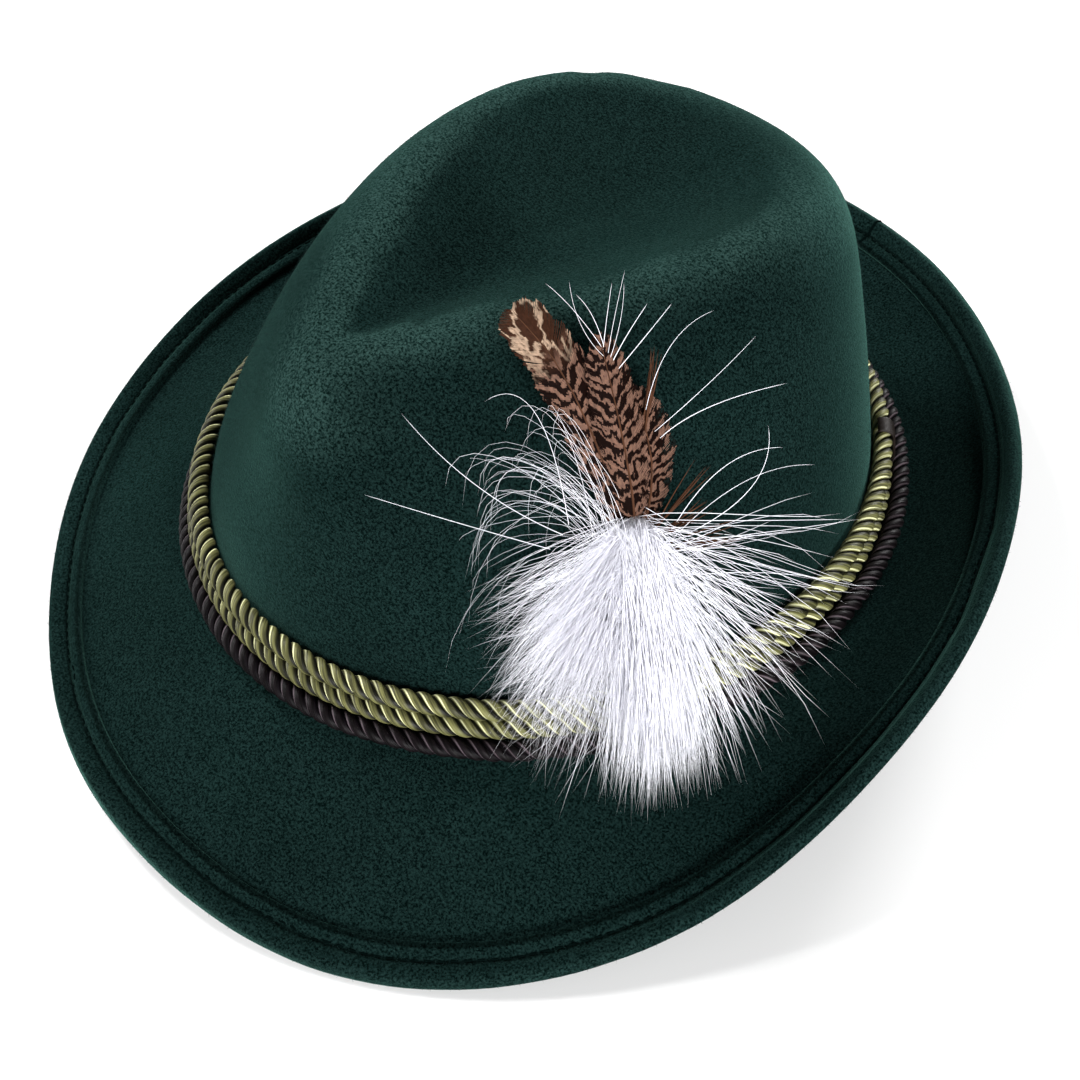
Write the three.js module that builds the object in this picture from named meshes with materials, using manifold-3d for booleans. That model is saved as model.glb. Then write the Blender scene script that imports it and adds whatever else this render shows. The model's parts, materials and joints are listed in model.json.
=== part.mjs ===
// A Tyrolean hat of green wool felt: a blocked crown with a teardrop dent, a brim that
// turns down in front and up behind, three twisted cords round the crown, and a plume of
// barred feathers and white down on the wearer's left.
// Millimetres and degrees, +Z up. The hat faces -Y, the wearer's left is +X, and the hat
// stands on a table as it rests by itself, with the lowest felt at z = 0.
import * as THREE from "three";
import Module from "manifold-3d";
import { mergeVertices } from "three/addons/utils/BufferGeometryUtils.js";

const wasm = await Module();
wasm.setup();

// Driving dimensions of the felt body
const HEAD_HALF_WIDTH = 88.5; // the crown's outer oval where it meets the brim
const HEAD_HALF_LENGTH = 98;
const FELT = 2.2; // thickness of one layer of felt
const CROWN_HEIGHT = 100; // from the brim's break to the highest crest
const BRIM_WIDTH = 52.5; // along the felt, from the break to the edge
const BREAK_RADIUS = 6; // rounding where the crown turns into the brim
const WELT_WIDTH = 9.5; // the brim's edge is folded back over itself by this much
const STITCH_INSET = 4.2; // the stitched groove, measured in from the folded edge
const FOLD_STEP = 0.8 * FELT; // the raw edge of the fold stands this high on the brim
const GROOVE_HEIGHT = 0.35 * FELT; // height of the fold where the stitches pull it down
const EDGE_ROUND = 0.8 * FELT; // how far the fold rounds out beyond the brim's edge
const REST_FLAT = 1.2; // how far the soft felt flattens where it touches the table

// Driving dimensions of the trim
const CLEARANCE = 0.3; // gap kept between neighbouring pieces
const CORD_DIAMETER = 5.6;
const CORD_TOP = 15; // top of the upper cord above the break
const BINDING_WIDTH = 8; // thread wound over the olive cords where their ends meet
const BINDING_WALL = 0.9;
const BINDING_ANGLE = 137; // from the front towards the wearer's left

// Driving dimensions of the plume, which springs from a bound head above the cords
const PLUME_ANGLE = 67; // from the front towards the wearer's left
const PLUME_HEIGHT = 38; // middle of its head above the brim's break
const HEAD_RADIUS = 7;
const HEAD_THICKNESS = 5;
const PLUME_REACH = 1.53 * PLUME_HEIGHT; // length of the longest lock of down
const LOCK_THICKNESS = 5;
const LOCK_SPREAD = 1.5; // a lock is this much wider along the wall than its thickness
const LOCK_DEPTH = 0.8; // and this much of its thickness deep
const FEATHER_LENGTH = 80; // from the middle of the head to the longest tip
const FEATHER_WIDTH = 13;
const FEATHER_THICKNESS = 0.9;
const FEATHER_LEAN = 0.06; // how far a feather leans off the wall for its length

// How finely the solids are divided
const AROUND = 56;
const CORD_SIDES = 8;
const LOCK_SIDES = 6;
const HEAD_SIDES = 16;
const FINE_STEPS = 400; // for curves that are only measured along

// Rings of the crown from the dent out to the break, seen from above. Width is the half
// width at the sides and shift the ring's place towards the wearer's left, as shares of
// the head oval's half width. Front and back are shares of the oval's half length, and
// point draws the ring in towards the front.
const CROWN_RINGS = [
  { name: "floor", width: 0.16, shift: -0.04, front: 0.34, back: 0.34, point: 0.5 },
  { name: "slope", width: 0.31, shift: -0.045, front: 0.54, back: 0.6, point: 0.75 },
  { name: "crest", width: 0.43, shift: -0.055, front: 0.7, back: 0.8, point: 0.8 },
  { name: "shoulder", width: 0.585, shift: -0.015, front: 0.83, back: 0.94, point: 0.5 },
  { name: "wall", width: 0.83, shift: 0, front: 0.9, back: 0.985, point: 0.12 },
  { name: "band", width: 0.975, shift: 0, front: 0.98, back: 0.99, point: 0 },
  { name: "break", width: 1, shift: 0, front: 1, back: 1, point: 0 },
];

// Heights of the same rings as shares of the crown's height: in front, on the wearer's
// left and right, and behind.
const RING_HEIGHTS = {
  floor: { front: 0.83, left: 0.84, right: 0.84, back: 0.79 },
  slope: { front: 0.845, left: 0.89, right: 0.905, back: 0.805 },
  crest: { front: 0.845, left: 0.935, right: 0.958, back: 0.82 },
  shoulder: { front: 0.74, left: 0.84, right: 0.885, back: 0.745 },
  wall: { front: 0.44, left: 0.5, right: 0.5, back: 0.44 },
  band: { front: 0.16, left: 0.16, right: 0.16, back: 0.16 },
  break: { front: 0, left: 0, right: 0, back: 0 },
};
const DENT_HEIGHT = 0.83; // the middle of the dent

// The brim at equal steps right round from the front, first over the wearer's left: reach
// and rise of its edge from the break as shares of the brim's width, and its slope in
// degrees where it leaves the crown (dip) and at the edge (lip).
const BRIM = [
  { place: "front", reach: 0.99, rise: -0.43, dip: -22, lip: -20 },
  { place: "front left", reach: 1.05, rise: -0.56, dip: -26, lip: -24 },
  { place: "left temple", reach: 0.99, rise: -0.33, dip: -24, lip: -6 },
  { place: "left", reach: 0.86, rise: 0.22, dip: -14, lip: 22 },
  { place: "behind left", reach: 0.73, rise: 0.37, dip: -10, lip: 36 },
  { place: "back left", reach: 0.75, rise: 0.29, dip: -8, lip: 36 },
  { place: "back", reach: 0.91, rise: 0.22, dip: -8, lip: 34 },
  { place: "back right", reach: 0.93, rise: 0.29, dip: -8, lip: 36 },
  { place: "behind right", reach: 0.88, rise: 0.2, dip: -10, lip: 36 },
  { place: "right", reach: 0.92, rise: -0.04, dip: -14, lip: 22 },
  { place: "right temple", reach: 0.92, rise: -0.31, dip: -24, lip: -6 },
  { place: "front right", reach: 0.89, rise: -0.46, dip: -26, lip: -24 },
];

const FULL_TURN = 2 * Math.PI;
const radians = THREE.MathUtils.degToRad;
const at = (x, y, z) => new THREE.Vector3(x, y, z);
const angleOf = (j) => (j / AROUND) * FULL_TURN;

// A point of the head oval at an angle from the front, moved outward along the oval's
// normal and up.
function onOval(angle, out, height) {
  const x = HEAD_HALF_WIDTH * Math.sin(angle);
  const y = -HEAD_HALF_LENGTH * Math.cos(angle);
  const normal = outward(angle);
  return at(x + normal.x * out, y + normal.y * out, height);
}

function outward(angle) {
  return at(Math.sin(angle) / HEAD_HALF_WIDTH, -Math.cos(angle) / HEAD_HALF_LENGTH, 0).normalize();
}

// The crown's point on one ring, at an angle from the front towards the wearer's left.
function onRing(ring, angle) {
  const sine = Math.sin(angle);
  const cosine = Math.cos(angle);
  const narrowing = (1 - (ring.point * (1 + cosine)) / 2) / (1 - ring.point / 2);
  const reach = cosine > 0 ? ring.front : ring.back;
  const heights = RING_HEIGHTS[ring.name];
  const end = cosine > 0 ? heights.front : heights.back;
  const side = sine > 0 ? heights.left : heights.right;
  const height = side + (end - side) * cosine ** 2;
  return at(
    HEAD_HALF_WIDTH * (ring.shift + ring.width * narrowing * sine),
    -HEAD_HALF_LENGTH * reach * cosine,
    CROWN_HEIGHT * height,
  );
}

// One column of the brim table, read at any angle by a smooth curve through its rows.
function brimValue(column, angle) {
  const place = (angle / FULL_TURN) * BRIM.length;
  const row = Math.floor(place);
  const t = place - row;
  const near = (k) => BRIM[(row + k + BRIM.length) % BRIM.length][column];
  const [before, from, to, after] = [near(-1), near(0), near(1), near(2)];
  const slope = to - before;
  const bend = 2 * before - 5 * from + 4 * to - after;
  const twist = 3 * (from - to) + after - before;
  return from + 0.5 * t * (slope + t * (bend + t * twist));
}

// The crown's section at one angle, from the middle of the dent down to the bend.
function crownWall(angle) {
  const middle = at(CROWN_RINGS[0].shift * HEAD_HALF_WIDTH, 0, DENT_HEIGHT * CROWN_HEIGHT);
  const rings = CROWN_RINGS.map((ring) => onRing(ring, angle));
  const whole = new THREE.CatmullRomCurve3([middle, ...rings], false, "centripetal");
  return whole.getSpacedPoints(FINE_STEPS).filter((p) => p.z > BREAK_RADIUS);
}

// The brim's section at one angle, from the bend out to the edge.
function brimSpan(angle) {
  const reach = brimValue("reach", angle) * BRIM_WIDTH;
  const rise = brimValue("rise", angle) * BRIM_WIDTH;
  const dip = radians(brimValue("dip", angle));
  const lip = radians(brimValue("lip", angle));
  const handle = Math.hypot(reach, rise) / 3;
  const curve = new THREE.CubicBezierCurve(
    new THREE.Vector2(0, 0),
    new THREE.Vector2(handle * Math.cos(dip), handle * Math.sin(dip)),
    new THREE.Vector2(reach - handle * Math.cos(lip), rise - handle * Math.sin(lip)),
    new THREE.Vector2(reach, rise),
  );
  const span = curve.getSpacedPoints(FINE_STEPS).filter((p) => p.x > BREAK_RADIUS);
  return span.map((p) => onOval(angle, p.x, p.y));
}

// The felt's upper face at one angle in three stretches: crown, bend and brim.
function feltProfile(angle) {
  const wall = crownWall(angle);
  const span = brimSpan(angle);
  return {
    crown: new THREE.CatmullRomCurve3(wall, false, "centripetal"),
    bend: new THREE.QuadraticBezierCurve3(wall.at(-1), onOval(angle, 0, 0), span[0]),
    brim: new THREE.CatmullRomCurve3(span, false, "centripetal"),
  };
}

// Stations along the profile, as shares of each of its three stretches. They crowd where
// the felt bends most: over the crest, at the break and along the folded edge.
const CROWN_STATIONS = [0.1, 0.19, 0.27, 0.34, 0.39, 0.44, 0.49, 0.54, 0.6, 0.67, 0.75, 0.83, 0.92];
const BEND_STATIONS = [0, 0.33, 0.67, 1];
const BRIM_STATIONS = [0.18, 0.36, 0.54, 0.7];

function feltRows() {
  const profiles = [];
  for (let j = 0; j < AROUND; j++) profiles.push(feltProfile(angleOf(j)));
  const row = (pick) => profiles.map(pick);
  const inward = (curve, distance) => curve.getPointAt(1 - distance / curve.getLength());
  return {
    middle: profiles[0].crown.getPointAt(0),
    rows: [
      ...CROWN_STATIONS.map((t) => row((p) => p.crown.getPointAt(t))),
      ...BEND_STATIONS.map((t) => row((p) => p.bend.getPointAt(t))),
      ...BRIM_STATIONS.map((t) => row((p) => p.brim.getPointAt(t))),
      row((p) => inward(p.brim, WELT_WIDTH)),
      row((p) => inward(p.brim, STITCH_INSET)),
      row((p) => p.brim.getPointAt(1)),
    ],
  };
}

// Normals of the rows, pointing away from the wearer's head.
function rowNormals(rows, middle) {
  return rows.map((row, i) =>
    row.map((point, j) => {
      const before = i ? rows[i - 1][j] : middle;
      const after = rows[Math.min(i + 1, rows.length - 1)][j];
      const along = after.clone().sub(before);
      const across = row[(j + 1) % AROUND].clone().sub(row[(j + AROUND - 1) % AROUND]);
      return along.cross(across).normalize();
    }),
  );
}

const offset = (row, normals, distance) =>
  row.map((p, j) => p.clone().addScaledVector(normals[j], distance));

// A closed body from rings of equal length between two end points.
function closedBody(first, rings, last) {
  const count = rings[0].length;
  const points = [first, ...rings.flat(), last];
  const positions = [];
  const triangle = (a, b, c) => positions.push(...points[a], ...points[b], ...points[c]);
  const end = points.length - 1;
  for (let j = 0; j < count; j++) {
    const k = (j + 1) % count;
    triangle(0, 1 + j, 1 + k);
    triangle(end, end - count + k, end - count + j);
    for (let i = 0; i + 1 < rings.length; i++) {
      const near = 1 + i * count;
      const far = near + count;
      triangle(near + j, far + j, far + k);
      triangle(near + j, far + k, near + k);
    }
  }
  return facingOut(new THREE.BufferGeometry().setAttribute(
    "position",
    new THREE.Float32BufferAttribute(positions, 3),
  ));
}

// Turns the faces of a closed body round if they point inwards.
function facingOut(geometry) {
  const position = geometry.getAttribute("position");
  let volume = 0;
  const corners = [at(), at(), at()];
  for (let i = 0; i < position.count; i += 3) {
    corners.forEach((corner, k) => corner.fromBufferAttribute(position, i + k));
    volume += corners[0].dot(corners[1].clone().cross(corners[2]));
  }
  if (volume < 0) {
    for (let i = 0; i < position.count; i += 3) {
      corners.forEach((corner, k) => corner.fromBufferAttribute(position, i + k));
      position.setXYZ(i + 1, ...corners[2]);
      position.setXYZ(i + 2, ...corners[1]);
    }
  }
  geometry.computeVertexNormals();
  return geometry;
}

// The value between two limits at which a function with one peak is greatest.
function peak(value, low, high) {
  for (let i = 0; i < 40; i++) {
    const third = (high - low) / 3;
    if (value(low + third) < value(high - third)) low += third;
    else high -= third;
  }
  return (low + high) / 2;
}

// The table that the hat comes to rest on: of all planes below the felt, the one that is
// highest under the crown's middle.
function restingPlane(points) {
  const steepest = 0.3;
  const height = (side, back) => Math.min(...points.map((p) => p.z - side * p.x - back * p.y));
  const best = (back) => peak((side) => height(side, back), -steepest, steepest);
  const back = peak((slope) => height(best(slope), slope), -steepest, steepest);
  const side = best(back);
  return { side, back, height: height(side, back) + REST_FLAT };
}

const felt = feltRows();
const feltNormals = rowNormals(felt.rows, felt.middle);
const underside = felt.rows.map((row, i) => offset(row, feltNormals[i], -FELT));
const table = restingPlane(underside.flat());
const tableUnder = (p) => table.height + table.side * p.x + table.back * p.y;
const onTable = (p) => at(p.x, p.y, Math.max(p.z, tableUnder(p)));

// Crown and brim in one hollow piece. The upper face ends in the fold: up its raw edge,
// down to the stitches and over to the rounded edge, and then the underside runs back.
function feltBody() {
  const rows = felt.rows;
  const last = rows.length - 1;
  const stitch = last - 1;
  const raw = last - 2;
  const roundedEdge = rows[last].map((p, j) => {
    const along = p.clone().sub(rows[stitch][j]).normalize();
    return p.clone().addScaledVector(along, EDGE_ROUND);
  });
  const upper = [
    ...rows.slice(0, raw + 1),
    offset(rows[raw], feltNormals[raw], FOLD_STEP),
    offset(rows[stitch], feltNormals[stitch], GROOVE_HEIGHT),
    offset(rows[last], feltNormals[last], FELT),
    roundedEdge,
  ];
  const lower = underside.filter((_, i) => i !== stitch).reverse();
  const rings = [...upper, ...lower].map((ring) => ring.map(onTable));
  const below = felt.middle.clone().setZ(felt.middle.z - FELT);
  return closedBody(felt.middle, rings, below);
}

// The centres of the three cords at each angle, from the top one down. Each lies on the
// felt, and against the cord above it, with the clearance between them.
const CORD_RADIUS = CORD_DIAMETER / 2;
const CORDS = 3;

function cordCentres(j) {
  const lift = CORD_RADIUS + CLEARANCE;
  const lowWall = CROWN_STATIONS.length - 4;
  const firstBrim = CROWN_STATIONS.length + BEND_STATIONS.length;
  const track = [];
  for (let i = lowWall; i <= firstBrim; i++) {
    track.push(felt.rows[i][j].clone().addScaledVector(feltNormals[i][j], lift));
  }
  const path = new THREE.CatmullRomCurve3(track, false, "centripetal").getSpacedPoints(FINE_STEPS);
  const centres = [path.find((p) => p.z < CORD_TOP - CORD_RADIUS)];
  while (centres.length < CORDS) {
    const last = centres[centres.length - 1];
    const rest = path.slice(path.indexOf(last));
    centres.push(rest.find((p) => p.distanceTo(last) > CORD_DIAMETER + CLEARANCE));
  }
  return centres;
}

const cords = [];
for (let j = 0; j < AROUND; j++) cords.push(cordCentres(j));

// The centre of one cord at any angle, on the straight run between two of its sections.
function cordCentre(which, angle) {
  const turn = (angle / FULL_TURN) * AROUND;
  const j = Math.floor(turn);
  return cords[j % AROUND][which].clone().lerp(cords[(j + 1) % AROUND][which], turn - j);
}

function cord(which) {
  const rings = cords.map((centres, j) => {
    const side = outward(angleOf(j));
    const ring = [];
    for (let k = 0; k < CORD_SIDES; k++) {
      const a = (k / CORD_SIDES) * FULL_TURN;
      const point = centres[which].clone().addScaledVector(side, CORD_RADIUS * Math.cos(a));
      ring.push(point.setZ(point.z + CORD_RADIUS * Math.sin(a)));
    }
    return ring;
  });
  return closedLoop(rings);
}

// Thread wound over the two olive cords, open towards the felt that they lie on. Its
// section runs round the upper cord and onto the next, by the turn in degrees from
// straight out.
const BINDING_SWEEP = [
  { which: 0, turn: 80 },
  { which: 0, turn: 55 },
  { which: 0, turn: 28 },
  { which: 0, turn: 0 },
  { which: 1, turn: 0 },
  { which: 1, turn: -8 },
];

function bindingSection(angle, radius) {
  const across = cordCentre(0, angle).sub(cordCentre(1, angle)).normalize();
  const along = outward(angle).cross(at(0, 0, 1));
  const out = across.clone().cross(along).normalize();
  return BINDING_SWEEP.map(({ which, turn }) =>
    cordCentre(which, angle)
      .addScaledVector(out, radius * Math.cos(radians(turn)))
      .addScaledVector(across, radius * Math.sin(radians(turn))),
  );
}

function cordBinding() {
  const half = BINDING_WIDTH / 2 / HEAD_HALF_LENGTH;
  const middle = radians(BINDING_ANGLE);
  const inner = CORD_RADIUS + CLEARANCE;
  const outer = inner + BINDING_WALL;
  const lines = [
    bindingSection(middle - half, inner),
    bindingSection(middle - half, outer),
    bindingSection(middle, outer),
    bindingSection(middle + half, outer),
    bindingSection(middle + half, inner),
    bindingSection(middle, inner),
  ];
  const rings = BINDING_SWEEP.map((_, i) => lines.map((line) => line[i]));
  return closedBody(centreOf(rings[0]), rings, centreOf(rings.at(-1)));
}

const centreOf = (points) =>
  points.reduce((sum, p) => sum.add(p), at(0, 0, 0)).divideScalar(points.length);

// A closed body from rings that run round and meet again.
function closedLoop(rings) {
  const positions = [];
  const triangle = (a, b, c) => positions.push(...a, ...b, ...c);
  rings.forEach((ring, i) => {
    const next = rings[(i + 1) % rings.length];
    ring.forEach((point, j) => {
      const k = (j + 1) % ring.length;
      triangle(point, next[j], next[k]);
      triangle(point, next[k], ring[k]);
    });
  });
  return facingOut(new THREE.BufferGeometry().setAttribute(
    "position",
    new THREE.Float32BufferAttribute(positions, 3),
  ));
}

// The plume's own frame on the crown's wall: back runs towards the hat's rear, up runs up
// the wall and out points away from it.
function plumeFrame() {
  const angle = radians(PLUME_ANGLE);
  const apart = 5; // half the stretch of wall that the directions are taken from
  const onWall = (turn, height) => crownWall(turn).find((p) => p.z < height);
  const origin = onWall(angle, PLUME_HEIGHT);
  const top = onWall(angle, PLUME_HEIGHT + apart);
  const up = top.sub(onWall(angle, PLUME_HEIGHT - apart)).normalize();
  const turn = apart / HEAD_HALF_LENGTH;
  const rear = onWall(angle + turn, PLUME_HEIGHT);
  const out = rear.sub(onWall(angle - turn, PLUME_HEIGHT)).cross(up).normalize();
  return { origin, back: up.clone().cross(out), up, out };
}

const plume = plumeFrame();
const onPlume = (back, up, out) =>
  plume.origin
    .clone()
    .addScaledVector(plume.back, back)
    .addScaledVector(plume.up, up)
    .addScaledVector(plume.out, out);

// Locks of down. Turn is measured from straight up towards the hat's rear, length is a
// share of the plume's reach, width a share of the lock thickness, and start and lift are
// the heights off the wall at the root and the tip as shares of the head's thickness.
const LOCKS = [
  { turn: -26, length: 0.88, width: 0.5, start: 0.7, lift: 1.0 },
  { turn: -46, length: 0.84, width: 0.6, start: 0.7, lift: 1.2 },
  { turn: -66, length: 0.72, width: 0.8, start: 0.7, lift: 1.3 },
  { turn: -87, length: 0.68, width: 0.9, start: 0.7, lift: 1.6 },
  { turn: -106, length: 0.74, width: 1.0, start: 0.8, lift: 2.0 },
  { turn: -124, length: 0.82, width: 1.0, start: 0.9, lift: 2.6 },
  { turn: -141, length: 0.84, width: 1.1, start: 1.0, lift: 3.2 },
  { turn: -158, length: 0.82, width: 1.2, start: 1.1, lift: 3.6 },
  { turn: -175, length: 0.8, width: 1.2, start: 1.2, lift: 3.8 },
  { turn: 168, length: 0.84, width: 1.2, start: 1.2, lift: 3.9 },
  { turn: 152, length: 0.88, width: 1.2, start: 1.1, lift: 3.8 },
  { turn: 137, length: 0.92, width: 1.1, start: 1.0, lift: 3.4 },
  { turn: 122, length: 0.92, width: 1.0, start: 0.9, lift: 2.8 },
  { turn: 108, length: 0.92, width: 0.9, start: 0.8, lift: 2.2 },
  { turn: 94, length: 1.0, width: 0.8, start: 0.7, lift: 1.6 },
  { turn: 80, length: 0.72, width: 0.7, start: 0.7, lift: 1.2 },
  { turn: -112, length: 0.5, width: 1.3, start: 1.4, lift: 3.4 },
  { turn: -145, length: 0.56, width: 1.4, start: 1.5, lift: 4.4 },
  { turn: 180, length: 0.58, width: 1.4, start: 1.6, lift: 5.0 },
  { turn: 146, length: 0.64, width: 1.4, start: 1.5, lift: 4.6 },
  { turn: 114, length: 0.6, width: 1.3, start: 1.4, lift: 3.4 },
];

// Stations along a lock with its thickness there, as shares of its length and width.
const LOCK_SHAPE = [
  { share: 0.12, thick: 0.9 },
  { share: 0.38, thick: 1.0 },
  { share: 0.66, thick: 0.8 },
  { share: 0.88, thick: 0.42 },
];

function lock({ turn, length, width, start, lift }) {
  const reach = length * PLUME_REACH;
  const sine = Math.sin(radians(turn));
  const cosine = Math.cos(radians(turn));
  const path = (share) => {
    const height = HEAD_THICKNESS * (start + (lift - start) * share);
    return onPlume(reach * share * sine, reach * share * cosine, height);
  };
  const side = path(1).sub(path(0)).cross(plume.out).normalize();
  const rings = LOCK_SHAPE.map(({ share, thick }) => {
    const radius = (thick * width * LOCK_THICKNESS) / 2;
    const ring = [];
    for (let k = 0; k < LOCK_SIDES; k++) {
      const a = (k / LOCK_SIDES) * FULL_TURN;
      ring.push(
        path(share)
          .addScaledVector(side, LOCK_SPREAD * radius * Math.cos(a))
          .addScaledVector(plume.out, LOCK_DEPTH * radius * Math.sin(a)),
      );
    }
    return ring;
  });
  return closedBody(path(0), rings, path(1));
}

// The bound head: a low drum whose back lies on the felt with the clearance between them.
function plumeHead() {
  const drum = new THREE.CylinderGeometry(HEAD_RADIUS, HEAD_RADIUS, HEAD_THICKNESS, HEAD_SIDES);
  const turn = new THREE.Matrix4().makeBasis(plume.back, plume.out, plume.up.clone().negate());
  drum.applyMatrix4(turn);
  const centre = onPlume(0, 0, CLEARANCE + HEAD_THICKNESS / 2);
  return drum.translate(centre.x, centre.y, centre.z);
}

function solid(geometry) {
  const bare = geometry.clone();
  bare.deleteAttribute("normal");
  bare.deleteAttribute("uv");
  const merged = mergeVertices(bare, 1e-4);
  return wasm.Manifold.ofMesh(new wasm.Mesh({
    numProp: 3,
    vertProperties: new Float32Array(merged.getAttribute("position").array),
    triVerts: new Uint32Array(merged.index.array),
  }));
}

function fused(geometries) {
  const mesh = wasm.Manifold.union(geometries.map(solid)).getMesh();
  const geometry = new THREE.BufferGeometry();
  geometry.setAttribute("position", new THREE.BufferAttribute(mesh.vertProperties, 3));
  geometry.setIndex(new THREE.BufferAttribute(mesh.triVerts, 1));
  geometry.computeVertexNormals();
  return geometry;
}

const plumeDown = () => fused([plumeHead(), ...LOCKS.map(lock)]);

// Feathers from the head upwards. Each starts at the head's rim; back and up are shares of
// the feather length, half is half the vane's width as a share of the feather width.
const FEATHERS = [
  {
    name: "feather_short",
    layer: 1,
    stations: [
      { back: 0.06, up: 0.2, half: 0.24 },
      { back: 0.1, up: 0.3, half: 0.42 },
      { back: 0.12, up: 0.4, half: 0.5 },
      { back: 0.12, up: 0.5, half: 0.45 },
      { back: 0.11, up: 0.59, half: 0.28 },
    ],
    tip: { back: 0.1, up: 0.65 },
  },
  {
    name: "feather_long",
    layer: 2,
    stations: [
      { back: -0.01, up: 0.22, half: 0.24 },
      { back: -0.02, up: 0.38, half: 0.42 },
      { back: -0.045, up: 0.54, half: 0.48 },
      { back: -0.08, up: 0.7, half: 0.5 },
      { back: -0.12, up: 0.83, half: 0.48 },
      { back: -0.17, up: 0.93, half: 0.4 },
      { back: -0.195, up: 0.975, half: 0.22 },
    ],
    tip: { back: -0.205, up: 1 },
  },
  {
    name: "feather_middle",
    layer: 3,
    stations: [
      { back: 0.02, up: 0.2, half: 0.24 },
      { back: 0.033, up: 0.34, half: 0.42 },
      { back: 0.036, up: 0.48, half: 0.48 },
      { back: 0.034, up: 0.62, half: 0.44 },
      { back: 0.03, up: 0.74, half: 0.34 },
      { back: 0.027, up: 0.81, half: 0.2 },
    ],
    tip: { back: 0.025, up: 0.85 },
  },
];

function feather({ layer, stations, tip }) {
  const pitch = FEATHER_THICKNESS + CLEARANCE;
  const height = (up) => layer * pitch + FEATHER_LEAN * up * FEATHER_LENGTH;
  const place = (s, across = 0, out = 0) =>
    onPlume(s.back * FEATHER_LENGTH + across, s.up * FEATHER_LENGTH, height(s.up) + out);
  const root = { back: 0, up: (HEAD_RADIUS + CLEARANCE) / FEATHER_LENGTH, half: 0.1 };
  const rings = [root, ...stations].map((s) => {
    const half = s.half * FEATHER_WIDTH;
    const thick = FEATHER_THICKNESS / 2;
    return [place(s, -half), place(s, 0, thick), place(s, half), place(s, 0, -thick)];
  });
  return closedBody(centreOf(rings[0]), rings, place(tip));
}

const hat = new THREE.Group();
const tableNormal = at(-table.side, -table.back, 1).normalize();
hat.quaternion.setFromUnitVectors(tableNormal, at(0, 0, 1));
hat.position.z = -table.height * tableNormal.z;

function add(name, geometry, color, roughness) {
  const material = new THREE.MeshStandardMaterial({ color, roughness, metalness: 0 });
  const mesh = new THREE.Mesh(geometry, material);
  mesh.name = name;
  hat.add(mesh);
}

const GREEN_FELT = 0x1d4038;
const OLIVE = 0x8e8f4e;
const DARK_BROWN = 0x2a1e22;
const FEATHER_BROWN = 0x8a5236;
const DOWN_WHITE = 0xeef0f6;
const MATT = 0.95;
const SATIN = 0.45;

add("felt_body", feltBody(), GREEN_FELT, MATT);
add("cord_top", cord(0), OLIVE, SATIN);
add("cord_middle", cord(1), OLIVE, SATIN);
add("cord_lower", cord(2), DARK_BROWN, SATIN);
add("cord_binding", cordBinding(), DARK_BROWN, SATIN);
FEATHERS.forEach((one) => add(one.name, feather(one), FEATHER_BROWN, MATT));
add("plume_down", plumeDown(), DOWN_WHITE, MATT);

// The origin is under the middle of the hat, on the table.
const root = new THREE.Group();
root.add(hat);
root.updateMatrixWorld(true);
const middle = new THREE.Box3().setFromObject(root, true).getCenter(at());
hat.position.x -= middle.x;
hat.position.y -= middle.y;
export default root;
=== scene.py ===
"""A Tyrolean hat of green wool felt: twisted satin cords round the crown, a plume of barred
feathers and white down on the wearer's left, and a turned and stitched edge on the brim."""

import json
import math
from collections import namedtuple

import bmesh
import bpy
import numpy as np
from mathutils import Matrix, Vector
from mathutils.bvhtree import BVHTree
from mathutils.kdtree import KDTree

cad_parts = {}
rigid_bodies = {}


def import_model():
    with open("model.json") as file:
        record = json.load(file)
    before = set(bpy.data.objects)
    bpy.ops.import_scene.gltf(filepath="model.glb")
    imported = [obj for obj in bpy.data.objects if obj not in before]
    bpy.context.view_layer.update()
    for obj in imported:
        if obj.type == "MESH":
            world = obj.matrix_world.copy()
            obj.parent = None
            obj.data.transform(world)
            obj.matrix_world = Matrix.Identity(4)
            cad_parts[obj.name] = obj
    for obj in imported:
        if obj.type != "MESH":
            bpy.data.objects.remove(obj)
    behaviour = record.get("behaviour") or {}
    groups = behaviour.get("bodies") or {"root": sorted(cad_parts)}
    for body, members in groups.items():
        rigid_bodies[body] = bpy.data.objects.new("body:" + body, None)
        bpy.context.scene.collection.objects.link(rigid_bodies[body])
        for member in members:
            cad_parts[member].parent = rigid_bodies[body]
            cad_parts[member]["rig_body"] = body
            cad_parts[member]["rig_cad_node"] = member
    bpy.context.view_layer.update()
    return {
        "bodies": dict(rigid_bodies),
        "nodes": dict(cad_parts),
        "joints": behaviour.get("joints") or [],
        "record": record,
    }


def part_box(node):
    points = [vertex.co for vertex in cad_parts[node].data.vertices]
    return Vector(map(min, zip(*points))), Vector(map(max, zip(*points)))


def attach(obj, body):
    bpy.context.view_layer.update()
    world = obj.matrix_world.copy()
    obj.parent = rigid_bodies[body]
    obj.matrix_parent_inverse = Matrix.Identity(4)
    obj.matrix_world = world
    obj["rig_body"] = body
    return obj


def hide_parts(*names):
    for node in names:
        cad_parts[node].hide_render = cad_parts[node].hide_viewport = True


MM = 0.001
FULL_TURN = 2 * math.pi
PHOTO_SIDE = 1080  # pixels

# The camera, from the photograph's perspective
CAMERA_PLACE = (0.27632, -0.21499, 0.43737)
CAMERA_TURN = (39.4948, 3.535, 47.3534)  # degrees
FOCAL_PIXELS = 1925
SENSOR = 36  # millimetres
VIEW_MIDDLE = (544.15, 473.47)  # the lens axis in the photograph, in pixels

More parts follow.
